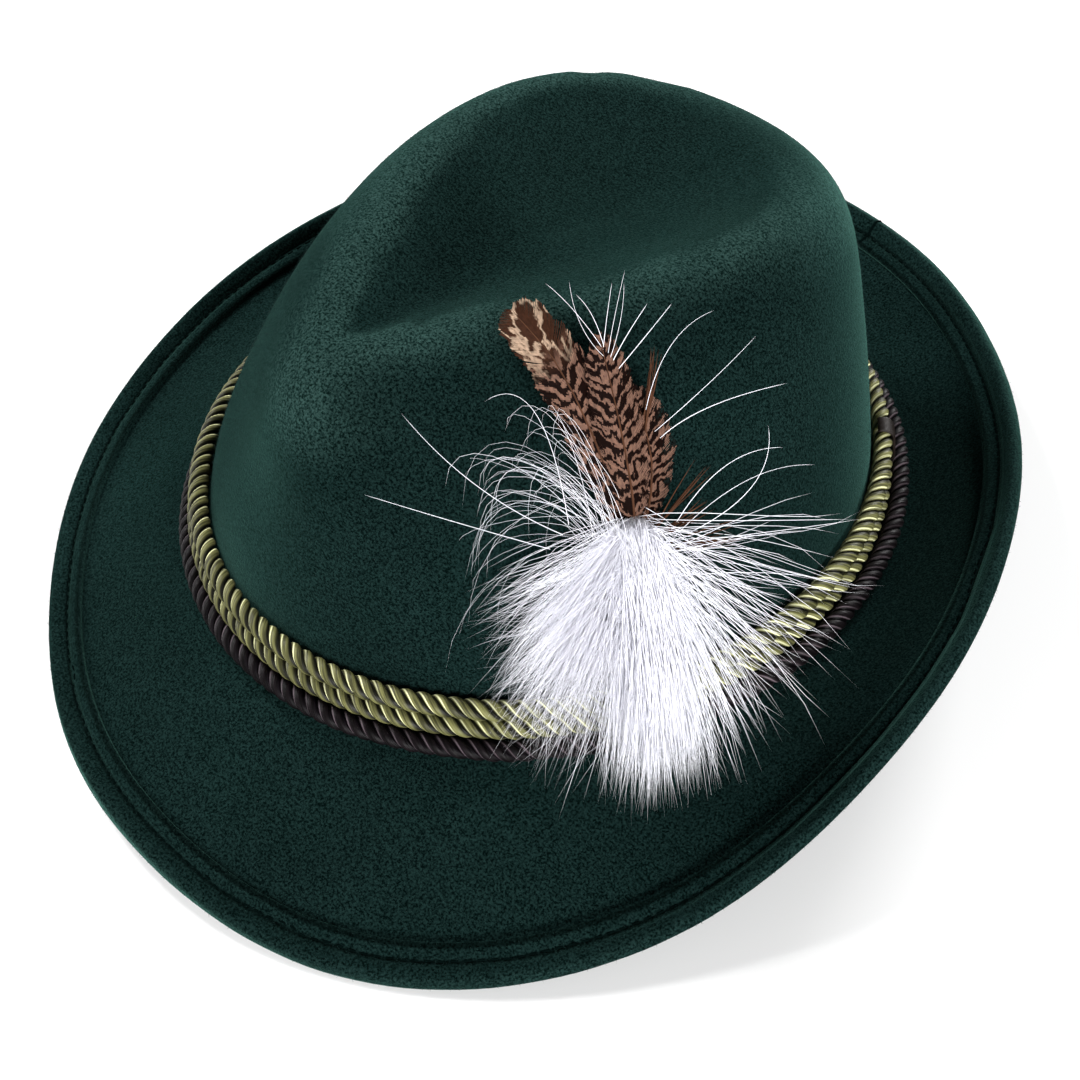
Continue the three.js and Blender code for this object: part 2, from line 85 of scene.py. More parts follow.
# Soft square lamps, all turned to the hat: place and side in metres, and power in watts
LAMPS = {
    "key_light": ((1.2, -0.5, 0.5), 0.5, 31),
    "top_light": ((-1.0, 0, 1.0), 0.4, 21),
    "rim_light": ((-0.3, 1.3, 0.45), 0.4, 20),
    "side_light": ((-1.05, -0.72, 0.36), 0.4, 10),
}
WORLD_LIGHT = 0.12
FLOOR_SIDE = 6  # metres

# The plume's own frame on the crown's left wall: back runs towards the hat's rear, up runs
# up the wall and out points away from it
PLUME_ORIGIN = Vector((0.07173, -0.02832, 0.0573))
PLUME_BACK = Vector((0.34673, 0.93752, -0.02892))
PLUME_UP = Vector((-0.43216, 0.18704, 0.88219))
PLUME_OUT = Vector((0.83248, -0.29338, 0.47001))
HEAD_THICKNESS = 5 * MM
PLUME_REACH = 58 * MM

# The cords
CORD_RADIUS = 2.8 * MM
CORD_SECTIONS = 56  # sections of a cord's solid
CORD_LAY = 12.4 * MM  # length of cord in which a strand goes once round
CORD_STEPS = 18  # steps of the mesh in that length
STRANDS = 3
STRAND_RADIUS = 1.36 * MM
STRAND_SIDES = 12

# The brim's turned edge and its seam
EDGE_SECTORS = 60  # parts of a turn in which the brim's outermost point is looked for
EDGE_STEPS = 900  # places on the edge that distances are measured from
EDGE_BAND = 20 * MM  # the inset attribute reaches 1 at this distance from the edge
ROLL_HEIGHT = 0.3 * MM
SEAM_INSET = 6.4 * MM  # straight from the edge
SEAM_REACH = 1.6 * MM
SEAM_DEPTH = 0.55 * MM
STITCH_INSET = 6.8 * MM  # along the felt from the edge
STITCH_PITCH = 3.4 * MM
STITCH_LENGTH = 0.36  # as a share of the pitch
STITCH_WIDTH = 0.5 * MM
JOIN_DIRECTION = (0.05, 1, 0)  # towards the place behind where the turned edge is joined
JOIN_REACH = (0.4, 10)  # from the edge inwards, in millimetres
JOIN_STEPS = 12
JOIN_WIDTH = 0.7 * MM

# The felt
SOFT_TURN = math.radians(60)  # an edge that turns by more stays sharp when the felt is smoothed
CREASE = 0.95
CREST_SMOOTHING = 6  # rounds
CREST_FROM = 7  # outward bend, as half the curvature per metre, from which the felt has a painted highlight
CREST_RANGE = 13  # bend beyond that at which it is lightest
CREST_ON_EDGE = 0.2  # share of that painted highlight in the edge band

# The nap of the felt, fibres that stand off its outer face
NAP_FIBRES = 40000
NAP_WIDTH = 0.1 * MM
NAP_LENGTH = (0.4, 1.3)  # shortest and longest, in millimetres
NAP_RISE = 0.55  # how far a fibre rises and how far it lies over, for its length
NAP_LEAN = 0.6
NAP_SUNK = 0.05 * MM
NAP_SPLIT = 0.05  # metres: one piece of nap covers the crown above this height, one the rest
OUTER_UP = 0.4  # felt that looks up, or away from the hat's middle, by more is outer felt
OUTER_AWAY = 0.25


def deselect_all():
    bpy.ops.object.select_all(action="DESELECT")


def make_active(piece):
    deselect_all()
    piece.select_set(True)
    bpy.context.view_layer.objects.active = piece


def apply_modifier(piece, kind, **settings):
    """Adds a modifier with these settings and applies it."""
    make_active(piece)
    modifier = piece.modifiers.new(kind.lower(), kind)
    for key, value in settings.items():
        setattr(modifier, key, value)
    bpy.ops.object.modifier_apply(modifier=modifier.name)


def mesh_piece(name, points, faces, uvs=None):
    """A smooth piece from arrays of points and of faces with three or four sides."""
    mesh = bpy.data.meshes.new(name)
    mesh.from_pydata(points.tolist(), [], faces.tolist())
    if uvs is not None:
        layer = mesh.uv_layers.new(name="UVMap")
        layer.data.foreach_set("uv", np.asarray(uvs, np.float32).ravel())
    mesh.update()
    piece = bpy.data.objects.new(name, mesh)
    bpy.context.scene.collection.objects.link(piece)
    make_active(piece)
    bpy.ops.object.shade_smooth()
    return piece


def finish_piece(piece, material, replaced=()):
    piece.data.materials.clear()
    piece.data.materials.append(material)
    if replaced:
        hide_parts(*replaced)
    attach(piece, "root")


def read_points(mesh, key):
    """The places or normals of a mesh's points as an array."""
    values = np.zeros(3 * len(mesh.vertices))
    mesh.vertices.foreach_get(key, values)
    return values.reshape(-1, 3)


def read_attribute(mesh, name):
    values = np.zeros(len(mesh.vertices))
    mesh.attributes[name].data.foreach_get("value", values)
    return values


def write_attribute(mesh, name, values):
    layer = mesh.attributes.new(name, "FLOAT", "POINT")
    layer.data.foreach_set("value", np.asarray(values, np.float32))


def unit(vectors):
    return vectors / np.linalg.norm(vectors, axis=-1, keepdims=True)


# Materials

def new_material(name):
    material = bpy.data.materials.new(name)
    material.use_nodes = True
    tree = material.node_tree
    return material, tree, tree.nodes["Principled BSDF"]


def node(tree, kind, values=None, **settings):
    """Adds a node, sets its properties and its unlinked inputs."""
    made = tree.nodes.new(kind)
    for key, value in settings.items():
        setattr(made, key, value)
    for key, value in (values or {}).items():
        made.inputs[key].default_value = value
    return made


def coordinates(tree, kind):
    return node(tree, "ShaderNodeTexCoord").outputs[kind]


def attribute(tree, name):
    return node(tree, "ShaderNodeAttribute", attribute_name=name).outputs["Fac"]


def noise(tree, vector, scale, detail):
    """A noise texture on some coordinates."""
    made = node(tree, "ShaderNodeTexNoise", {"Scale": scale, "Detail": detail})
    tree.links.new(vector, made.inputs["Vector"])
    return made


def ramp(tree, source, stops):
    """A colour ramp on a value, from (place, colour) stops."""
    made = node(tree, "ShaderNodeValToRGB")
    elements = made.color_ramp.elements
    while len(elements) < len(stops):
        elements.new(0.5)
    for element, (place, colour) in zip(elements, stops):
        element.position = place
        element.color = (*colour, 1)
    tree.links.new(source, made.inputs["Fac"])
    return made.outputs["Color"]


def greys(*stops):
    """Stops of a ramp from (place, brightness) pairs."""
    return [(place, (level,) * 3) for place, level in stops]


# Sockets of a mix node for colours
MIX_FACTOR, MIX_FIRST, MIX_SECOND, MIX_RESULT = 0, 6, 7, 2


def mixed(tree, first, second, blend="MIX"):
    """A node that mixes two colours."""
    made = node(tree, "ShaderNodeMix", data_type="RGBA", blend_type=blend)
    tree.links.new(first, made.inputs[MIX_FIRST])
    tree.links.new(second, made.inputs[MIX_SECOND])
    return made


def multiplied(tree, first, second):
    """The product of two colours."""
    made = mixed(tree, first, second, "MULTIPLY")
    made.inputs[MIX_FACTOR].default_value = 1.0
    return made.outputs[MIX_RESULT]


def masked(tree, mask, first, second):
    """The first colour where a mask is 0 and the second where it is 1."""
    made = mixed(tree, first, second)
    tree.links.new(mask, made.inputs[MIX_FACTOR])
    return made.outputs[MIX_RESULT]


def bump(tree, height, strength, depth, under=None):
    """The normal of a bump, laid over another normal where one is given."""
    made = node(tree, "ShaderNodeBump", {"Strength": strength, "Distance": depth})
    tree.links.new(height, made.inputs["Height"])
    if under is not None:
        tree.links.new(under, made.inputs["Normal"])
    return made.outputs["Normal"]


def set_gloss(shader, rough, shine):
    shader.inputs["Roughness"].default_value = rough
    shader.inputs["Specular IOR Level"].default_value = shine


def speckle_group():
    """Fine flecks of fibre and a slow drift of tone, both about 0.5."""
    group = bpy.data.node_groups.new("speckle", "ShaderNodeTree")
    face = group.interface
    face.new_socket("Vector", in_out="INPUT", socket_type="NodeSocketVector")
    face.new_socket("Fleck Scale", in_out="INPUT", socket_type="NodeSocketFloat")
    face.new_socket("Drift Scale", in_out="INPUT", socket_type="NodeSocketFloat")
    face.new_socket("Flecks", in_out="OUTPUT", socket_type="NodeSocketFloat")
    face.new_socket("Drift", in_out="OUTPUT", socket_type="NodeSocketFloat")
    inside = node(group, "NodeGroupInput")
    outside = node(group, "NodeGroupOutput")
    flecks = node(group, "ShaderNodeTexNoise", {"Detail": 3.0, "Roughness": 0.7})
    drift = node(group, "ShaderNodeTexNoise", {"Detail": 2.0, "Roughness": 0.5})
    for texture, scale in ((flecks, "Fleck Scale"), (drift, "Drift Scale")):
        group.links.new(inside.outputs["Vector"], texture.inputs["Vector"])
        group.links.new(inside.outputs[scale], texture.inputs["Scale"])
    group.links.new(flecks.outputs["Fac"], outside.inputs["Flecks"])
    group.links.new(drift.outputs["Fac"], outside.inputs["Drift"])
    return group


def place_speckle(tree, group, fleck_scale, drift_scale):
    """The speckle on Object coordinates."""
    made = node(tree, "ShaderNodeGroup", node_tree=group)
    made.inputs["Fleck Scale"].default_value = fleck_scale
    made.inputs["Drift Scale"].default_value = drift_scale
    tree.links.new(coordinates(tree, "Object"), made.inputs["Vector"])
    return made


# The turned edge across the edge band: its height, with the groove of the stitches between two
# rolls, and its painted shade, dark in the groove and at the raw edge
EDGE_ROLLS = [
    (0, 0.35), (0.07, 0.75), (0.15, 0.95), (0.24, 0.8), (0.3, 0.25), (0.32, 0), (0.34, 0.25),
    (0.38, 0.6), (0.43, 0.65), (0.48, 0.5), (0.56, 0.5),
]
EDGE_SHADE = [
    (0.28, 1), (0.31, 0.3), (0.33, 0.3), (0.36, 1), (0.46, 1), (0.49, 0.3), (0.53, 0.3), (0.58, 1),
]
# Painted highlight on the felt's crests: how much lighter their colour is made
CREST_HIGHLIGHT = (3.3, 2.8, 2.7)


def felt_material(speckle, name, dark, light):
    """Felt in flecks of two tones, with a painted highlight on its crests, and the turned edge's
    grooves with painted shade in them.
    """
    material, tree, shader = new_material(name)
    speckled = place_speckle(tree, speckle, 1600, 30)
    flecks = speckled.outputs["Flecks"]
    inset = attribute(tree, "inset")
    colour = ramp(tree, flecks, [(0.4, dark), (0.62, light)])
    slow = ramp(tree, speckled.outputs["Drift"], greys((0.3, 0.85), (0.7, 1.1)))
    colour = multiplied(tree, colour, slow)
    # Painted shade in the groove of the stitches and at the raw edge
    colour = multiplied(tree, colour, ramp(tree, inset, greys(*EDGE_SHADE)))
    # Painted highlight: the felt's colour is made lighter on its crests
    crest_highlight = ramp(tree, attribute(tree, "crest"), [(0, (1, 1, 1)), (1, CREST_HIGHLIGHT)])
    colour = multiplied(tree, colour, crest_highlight)
    tree.links.new(colour, shader.inputs["Base Color"])
    rolls = bump(tree, ramp(tree, inset, greys(*EDGE_ROLLS)), 1.0, 1.0 * MM)
    tree.links.new(bump(tree, flecks, 0.6, 0.4 * MM, rolls), shader.inputs["Normal"])
    set_gloss(shader, 0.95, 0.0)
    shader.inputs["Sheen Weight"].default_value = 0.15
    shader.inputs["Sheen Roughness"].default_value = 0.35
    shader.inputs["Sheen Tint"].default_value = (0.3, 0.75, 0.62, 1)
    return material


def satin_material(name, furrow_shade, body, ridge_highlight, rough, shine):
    """Satin yarn, by a UV map that runs once round a strand across and along it upwards:
    painted shade, near black in the furrows and dimmer on one side of each strand, and a painted
    highlight along the other side."""
    material, tree, shader = new_material(name)
    uv = coordinates(tree, "UV")
    parts = node(tree, "ShaderNodeSeparateXYZ")
    tree.links.new(uv, parts.inputs["Vector"])
    # Painted light and shade across each strand: near black furrows, a dimmer side and a bright
    # highlight line
    shaded_side = tuple(0.6 * c for c in body)
    tone = ramp(tree, parts.outputs["X"], [
        (0.03, furrow_shade), (0.075, body), (0.11, ridge_highlight), (0.13, ridge_highlight), (0.16, body),
        (0.34, shaded_side), (0.41, furrow_shade),
    ])
    drawn_out = node(
        tree, "ShaderNodeMapping", {"Scale": (13, 0.6, 1), "Rotation": (0, 0, 0.12)})
    tree.links.new(uv, drawn_out.inputs["Vector"])
    filaments = noise(tree, drawn_out.outputs["Vector"], 1.0, 2.0).outputs["Fac"]
    shade = ramp(tree, filaments, greys((0.4, 0.35), (0.6, 1.4)))
    tree.links.new(multiplied(tree, tone, shade), shader.inputs["Base Color"])
    tree.links.new(bump(tree, filaments, 0.9, 0.3 * MM), shader.inputs["Normal"])
    set_gloss(shader, rough, shine)
    return material


def feather_bars(tree, place):
    """Dark bars across a vane, wavering, on a brown ground."""
    wave = node(tree, "ShaderNodeTexWave", {
        "Scale": 0.9, "Distortion": 6.5, "Detail": 4.0, "Detail Scale": 2.2,
        "Detail Roughness": 0.6,
    }, wave_type="BANDS", bands_direction="Y")
    tree.links.new(place, wave.inputs["Vector"])
    brown = (0.14, 0.078, 0.057)
    dark = (0.005, 0.0015, 0.0009)
    return ramp(tree, wave.outputs["Fac"], [(0.57, dark), (0.68, brown)])


def feather_blotches(tree, place):
    """Large dark spots parted by pale lines."""
    cells = node(
        tree, "ShaderNodeTexVoronoi", {"Scale": 1.25, "Randomness": 1.0},
        feature="DISTANCE_TO_EDGE")
    tree.links.new(place, cells.inputs["Vector"])
    spot = (0.03, 0.012, 0.0065)
    cream = (0.3, 0.215, 0.155)
    return ramp(tree, cells.outputs["Distance"], [(0.03, cream), (0.09, spot)])


def feather_material():
    """Brown vane with dark bars that follow the barbs. The UV map holds the distance out
    along a barb and the place of its root along the shaft, and the attribute blotch is 1
    at the longest feather's tip, which is spotted."""
    material, tree, shader = new_material("barred_feather")
    uv = coordinates(tree, "UV")
    bent = node(tree, "ShaderNodeVectorMath", operation="ADD")
    tree.links.new(uv, bent.inputs[0])
    tree.links.new(noise(tree, uv, 2.2, 3.0).outputs["Color"], bent.inputs[1])
    place = bent.outputs["Vector"]
    bars = feather_bars(tree, place)
    pattern = masked(tree, attribute(tree, "blotch"), bars, feather_blotches(tree, place))
    mottle = noise(tree, uv, 9.0, 3.0).outputs["Fac"]
    shade = ramp(tree, mottle, [(0.3, (0.65, 0.65, 0.65)), (0.7, (1.3, 1.25, 1.2))])
    tree.links.new(multiplied(tree, pattern, shade), shader.inputs["Base Color"])
    set_gloss(shader, 0.6, 0.03)
    return material


def plain_fibre_material(speckle, name, colour, rough, shine):
    """One colour of fibre with a slow change of tone."""
    material, tree, shader = new_material(name)
    drift = place_speckle(tree, speckle, 300, 300).outputs["Drift"]
    low = tuple(0.6 * c for c in colour)
    tone = ramp(tree, drift, [(0.35, low), (0.6, colour)])
    tree.links.new(tone, shader.inputs["Base Color"])
    set_gloss(shader, rough, shine)
    return material


def down_material(name, colour):
    """White down, a little greyer here and there."""
    material, tree, shader = new_material(name)
    patches = noise(tree, coordinates(tree, "Object"), 150.0, 1.0).outputs["Fac"]
    grey = tuple(0.88 * c for c in colour)
    tone = ramp(tree, patches, [(0.3, grey), (0.6, colour)])
    tree.links.new(tone, shader.inputs["Base Color"])
    set_gloss(shader, 0.6, 0.3)
    shader.inputs["Sheen Weight"].default_value = 0.3
    return material


def floor_material():
    material, _, shader = new_material("pale_floor")
    shader.inputs["Base Color"].default_value = (0.9, 0.9, 0.9, 1)
    shader.inputs["Roughness"].default_value = 0.8
    return material


# Curves and tubes

def closed_curve(points, count):
    """A smooth closed curve through points, as evenly spaced points, and its length."""
    n = len(points)
    fine = []
    steps = 24  # between two of the points
    for i in range(n):
        a, b, c, d = (points[(i + k - 1) % n] for k in range(4))
        for t in np.arange(steps) / steps:
            bend = 2 * a - 5 * b + 4 * c - d
            fine.append(b + 0.5 * t * ((c - a) + t * (bend + t * (3 * (b - c) + d - a))))
    fine = np.array(fine + [fine[0]])
    run = np.concatenate([[0], np.cumsum(np.linalg.norm(np.diff(fine, axis=0), axis=1))])
    places = np.arange(count) / count * run[-1]
    return np.stack([np.interp(places, run, fine[:, k]) for k in range(3)], axis=1), run[-1]


def heading(centres):
    """The direction of a closed run of places at each of them."""
    return unit(np.roll(centres, -1, axis=0) - np.roll(centres, 1, axis=0))


def ring_round(across, above, sides):
    """The corners of a ring of radius 1 at each place, by two directions across it."""
    angles = np.arange(sides) / sides * FULL_TURN
    cosines, sines = np.cos(angles)[:, None], np.sin(angles)[:, None]
    return across[..., None, :] * cosines + above[..., None, :] * sines


def fibre_ring(forward, sides):
    """The corners of a ring of radius 1 across each direction in which a fibre runs."""
    slanted = np.array([0.31, -0.52, 0.79])
    across = unit(np.cross(forward, slanted))
    return ring_round(across, np.cross(across, forward), sides)


def tube_of_rings(rings):
    """Points, faces and UV map of a closed tube from rings of points: once round across the
    map, and one step upwards for each ring."""
    count, sides, _ = rings.shape
    i = np.repeat(np.arange(count), sides)
    k = np.tile(np.arange(sides), count)
    after = (i + 1) % count
    beside = (k + 1) % sides
    corners = [i * sides + k, after * sides + k, after * sides + beside, i * sides + beside]
    u = np.stack([k, k, k + 1, k + 1], axis=1) / sides
    v = np.stack([i, i + 1, i + 1, i], axis=1) / count
    return rings.reshape(-1, 3), np.stack(corners, axis=1), np.stack([u, v], axis=2)


def joined(parts):
    """One set of points, faces and UV corners from several."""
    points, faces, uvs = [], [], []
    start = 0
    for some_points, some_faces, some_uvs in parts:
        points.append(some_points)
        faces.append(some_faces + start)
        uvs.append(some_uvs)
        start += len(some_points)
    return np.concatenate(points), np.concatenate(faces), np.concatenate(uvs)


def strands(paths, widths, sides=3):
    """Tapered strands: one closed tube for each path, with a point at its tip. Paths is an
    array of strands, stations and places, widths of strands and stations."""
    count, stations, _ = paths.shape
    ring = fibre_ring(unit(np.gradient(paths, axis=1)), sides)
    points = paths[:, :-1, None] + ring[:, :-1] * widths[:, :-1, None, None] / 2
    body = points.reshape(count, -1, 3)
    points = np.concatenate([body, paths[:, -1:, :], paths[:, :1, :]], axis=1).reshape(-1, 3)
    size = (stations - 1) * sides + 2
    tip, root = size - 2, size - 1
    last = (stations - 2) * sides
    faces = []
    for i in range(stations - 2):
        for k in range(sides):
            j = (k + 1) % sides
            a, b, c, d = i * sides + k, i * sides + j, (i + 1) * sides + j, (i + 1) * sides + k
            faces += [(a, b, c), (a, c, d)]
    for k in range(sides):
        j = (k + 1) % sides
        faces.append((last + k, last + j, tip))
        faces.append((j, k, root))
    faces = np.array(faces)[None] + (np.arange(count) * size)[:, None, None]
    return points, faces.reshape(-1, 3)


def spikes(roots, tips, width):
    """Straight fibres, each a spike with three sides and a closed foot."""
    ring = fibre_ring(unit(tips - roots), 3)
    points = np.concatenate([roots[:, None] + ring * width / 2, tips[:, None]], axis=1)
    faces = np.array([(0, 1, 3), (1, 2, 3), (2, 0, 3), (2, 1, 0)])
    faces = faces[None] + 4 * np.arange(len(roots))[:, None, None]
    return points.reshape(-1, 3), faces.reshape(-1, 3)


# Felt

def merged_copy(source, name):
    """A copy of a CAD node with its loose triangles joined."""
    piece = source.copy()
    piece.data = source.data.copy()
    piece.name = name
    piece.parent = None
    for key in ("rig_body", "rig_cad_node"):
        if key in piece:
            del piece[key]
    bpy.context.scene.collection.objects.link(piece)
    make_active(piece)
    bpy.ops.object.mode_set(mode="EDIT")
    bpy.ops.mesh.select_all(action="SELECT")
    bpy.ops.mesh.remove_doubles(threshold=0.01 * MM)
    bpy.ops.mesh.tris_convert_to_quads(face_threshold=SOFT_TURN, shape_threshold=SOFT_TURN)
    bpy.ops.object.mode_set(mode="OBJECT")
    return piece


def crease_sharp_edges(piece):
    """Creases the edges at which the faces turn by more than the felt bends softly."""
    shape = bmesh.new()
    shape.from_mesh(piece.data)
    layers = shape.edges.layers.float
    layer = layers.get("crease_edge") or layers.new("crease_edge")
    for edge in shape.edges:
        if len(edge.link_faces) == 2 and edge.calc_face_angle() > SOFT_TURN:
            edge[layer] = CREASE
    shape.to_mesh(piece.data)
    shape.free()


def brim_edge(felt):
    """The outermost points of the brim, in order round the hat."""
    far = {}
    for vertex in felt.data.vertices:
        place = vertex.co
        sector = int((math.atan2(place.x, -place.y) / FULL_TURN % 1) * EDGE_SECTORS)
        if sector not in far or place.xy.length > far[sector].xy.length:
            far[sector] = place.copy()
    return np.array([far[s] for s in sorted(far)])


def mark_inset(felt):
    """Gives each point its distance from the brim's edge, as a share of the edge band."""
    edge, _ = closed_curve(brim_edge(felt), EDGE_STEPS)
    tree = KDTree(len(edge))
    for i, place in enumerate(edge):
        tree.insert(place, i)
    tree.balance()
    away = [min(tree.find(vertex.co)[2] / EDGE_BAND, 1.0) for vertex in felt.data.vertices]
    write_attribute(felt.data, "inset", away)


def press_seam(felt):
    """Rounds the roll at the brim's edge and presses the run of the stitches into the felt."""
    mesh = felt.data
    away = read_attribute(mesh, "inset") * EDGE_BAND
    roll = np.sin(np.pi * np.minimum(away / SEAM_INSET, 1))
    groove = np.maximum(0, 1 - np.abs(away - SEAM_INSET) / SEAM_REACH)
    rise = ROLL_HEIGHT * roll - SEAM_DEPTH * groove
    places = read_points(mesh, "co") + read_points(mesh, "normal") * rise[:, None]
    mesh.vertices.foreach_set("co", places.ravel())
    mesh.update()


def mark_crest_highlight(felt):
    """Gives each point how sharply the felt is bent outwards there, evened out, from 0 to 1: the
    mask of the painted highlight on the crests.
    """
    mesh = felt.data
    count = len(mesh.vertices)
    places, normals = read_points(mesh, "co"), read_points(mesh, "normal")
    ends = np.zeros(2 * len(mesh.edges), np.int64)
    mesh.edges.foreach_get("vertices", ends)
    one, other = ends.reshape(-1, 2).T
    links = np.bincount(ends, minlength=count)

    def beside(values):
        """The mean of a value over the points next to each point."""
        total = np.bincount(one, values[other], count) + np.bincount(other, values[one], count)
        return total / links

    length = np.linalg.norm(places[one] - places[other], axis=1)
    reach = (np.bincount(one, length, count) + np.bincount(other, length, count)) / links
    middle = np.stack([beside(places[:, k]) for k in range(3)], axis=1)
    bend = ((places - middle) * normals).sum(axis=1) / reach**2
    for _ in range(CREST_SMOOTHING):
        bend = (bend + beside(bend)) / 2
    amount = np.clip((bend - CREST_FROM) / CREST_RANGE, 0, 1)
    amount *= np.where(read_attribute(mesh, "inset") < 1, CREST_ON_EDGE, 1)
    write_attribute(mesh, "crest", amount)


def make_felt(nodes, material):
    piece = merged_copy(nodes["felt_body"], "felt_hat")
    crease_sharp_edges(piece)
    apply_modifier(piece, "SUBSURF", levels=2, render_levels=2)
    mark_inset(piece)
    press_seam(piece)
    mark_crest_highlight(piece)
    make_active(piece)
    bpy.ops.object.shade_smooth()
    finish_piece(piece, material, ["felt_body"])
    return piece


def felt_faces(mesh):
    """The corners and direction of the felt's triangles, and how likely each is to bear a
    fibre: by its area on the outer face, and not at all elsewhere."""
    mesh.calc_loop_triangles()
    corners = np.zeros(len(mesh.loop_triangles) * 3, np.int64)
    mesh.loop_triangles.foreach_get("vertices", corners)
    a, b, c = read_points(mesh, "co")[corners].reshape(-1, 3, 3).transpose(1, 0, 2)
    cross = np.cross(b - a, c - a)
    area = np.linalg.norm(cross, axis=1)
    normal = cross / np.maximum(area, 1e-12)[:, None]
    radial = unit((a + b + c) * (1, 1, 0) + 1e-6)
    outside = (normal[:, 2] > OUTER_UP) | ((normal * radial).sum(axis=1) > OUTER_AWAY)
    return (a, b, c), normal, area * outside


def make_nap(felt, material):
    """Short fibres that stand off the felt's outer face, so that its outline is soft."""
    rng = np.random.default_rng(23)
    (a, b, c), normal, chance = felt_faces(felt.data)
    picked = rng.choice(len(chance), NAP_FIBRES, p=chance / chance.sum())
    normal = normal[picked]
    u, v = rng.uniform(0, 1, (2, NAP_FIBRES, 1))
    folded = u + v > 1
    u, v = np.where(folded, 1 - u, u), np.where(folded, 1 - v, v)
    root = a[picked] * (1 - u - v) + b[picked] * u + c[picked] * v
    lean = rng.normal(0, 1, (NAP_FIBRES, 3))
    lean -= normal * (lean * normal).sum(axis=1, keepdims=True)
    length = rng.uniform(*NAP_LENGTH, (NAP_FIBRES, 1))
    tip = root + (NAP_RISE * normal + NAP_LEAN * unit(lean)) * length * MM
    root = root - NAP_SUNK * normal
    on_crown = root[:, 2] > NAP_SPLIT
    for name, chosen in (("nap_crown", on_crown), ("nap_brim", ~on_crown)):
        points, faces = spikes(root[chosen], tip[chosen], NAP_WIDTH)
        finish_piece(mesh_piece(name, points, faces), material)


def felt_below(surface, place):
    """The spot on the felt straight under a place, and the felt's normal there."""
    above = Vector(place) + Vector((0, 0, 0.05))
    spot, normal, _, _ = surface.ray_cast(above, Vector((0, 0, -1)))
    return spot, normal


def stitch_path(spot, normal, half):
    """A stitch through a spot, sunk at its ends, from its middle and half its length."""
    sunk = -0.2 * MM * normal
    return [
        spot - half + 2 * sunk,
        spot - 0.6 * half - 0.2 * sunk,
        spot + 0.02 * MM * normal,
        spot + 0.6 * half - 0.2 * sunk,
        spot + half + 2 * sunk,
    ]


def make_stitches(felt, material):
    """Short stitches sunk a little into the felt, at an even pitch along the brim's edge, and
    the join of the turned edge behind."""
    surface = BVHTree.FromObject(felt, bpy.context.evaluated_depsgraph_get())
    _, length = closed_curve(brim_edge(felt), 8)
    count = round(length / STITCH_PITCH)
    edge, _ = closed_curve(brim_edge(felt), count)
    inward = unit(np.cross(np.array([0, 0, 1.0]), heading(edge)))
    spots, normals = [], []
    for place, inner in zip(edge, inward):
        level = 1.0
        for _ in range(3):
            spot, normal = felt_below(surface, place + inner * STITCH_INSET * level)
            level = normal.z
        spots.append(np.array(spot))
        normals.append(np.array(normal))
    paths = []
    for i in range(count):
        half = STITCH_LENGTH * (spots[(i + 1) % count] - spots[i - 1]) / 2
        paths.append(stitch_path(spots[i], normals[i], half))
    points, faces = strands(np.array(paths), np.full((count, 5), STITCH_WIDTH), sides=6)
    finish_piece(mesh_piece("brim_stitches", points, faces), material)
    behind = int(np.argmax(edge @ JOIN_DIRECTION))
    make_edge_join(surface, edge[behind], inward[behind], material)


def make_edge_join(surface, place, inner, material):
    """A thread across the turned edge, where its two ends are joined behind."""
    run = []
    for away in np.linspace(*JOIN_REACH, JOIN_STEPS) * MM:
        spot, normal = felt_below(surface, place + inner * away)
        run.append(np.array(spot + 0.12 * MM * normal))
    widths = np.full((1, JOIN_STEPS), JOIN_WIDTH)
    points, faces = strands(np.array([run]), widths, sides=6)
    finish_piece(mesh_piece("edge_join", points, faces), material)


# Cords and the thread over their ends

def cord_line(source):
    """The middle of each section of a cord's solid, in order round the hat."""
    points = {tuple(round(c, 7) for c in v.co) for v in source.data.vertices}
    points = np.array(sorted(points, key=lambda p: math.atan2(p[0], -p[1])))
    sides = len(points) // CORD_SECTIONS
    return points[: sides * CORD_SECTIONS].reshape(CORD_SECTIONS, sides, 3).mean(axis=1)


def face_outwards(piece):
    make_active(piece)
    bpy.ops.object.mode_set(mode="EDIT")
    bpy.ops.mesh.select_all(action="SELECT")
    bpy.ops.mesh.normals_make_consistent(inside=False)
    bpy.ops.object.mode_set(mode="OBJECT")


def make_cord(name, source, material):
    """Three strands laid round each other to the left, each a smooth tube."""
    line = cord_line(source)
    _, length = closed_curve(line, 8)
    turns = round(length / CORD_LAY)
    count = turns * CORD_STEPS
    centres, _ = closed_curve(line, count)
    forward = heading(centres)
    across = unit(np.cross(forward, np.array([0, 0, 1.0])))
    above = np.cross(across, forward)
    parts = []
    for strand in range(STRANDS):
        turn = -FULL_TURN * (np.arange(count) * turns / count + strand / STRANDS)
        toward = across * np.cos(turn)[:, None] + above * np.sin(turn)[:, None]
        middle = centres + toward * (CORD_RADIUS - STRAND_RADIUS)
        run = heading(middle)
        beside = unit(np.cross(run, toward))
        ring = ring_round(beside, np.cross(beside, run), STRAND_SIDES)
        points, faces, uvs = tube_of_rings(middle[:, None] + STRAND_RADIUS * ring)
        uvs[..., 1] *= turns * STRANDS
        parts.append((points, faces, uvs))
    piece = mesh_piece(name, *joined(parts))
    face_outwards(piece)
    finish_piece(piece, material, [source.name])


BINDING_STEPS = 1200  # places along a cord that a turn of thread may lie at
THREAD_TURNS = 11
THREAD_PITCH = 0.72 * MM
THREAD_WIDTH = 0.8 * MM
THREAD_PROUD = 0.45 * MM
THREAD_REACH = 110  # degrees that a turn runs round each cord from its outermost line
THREAD_STATIONS = 9  # on each cord


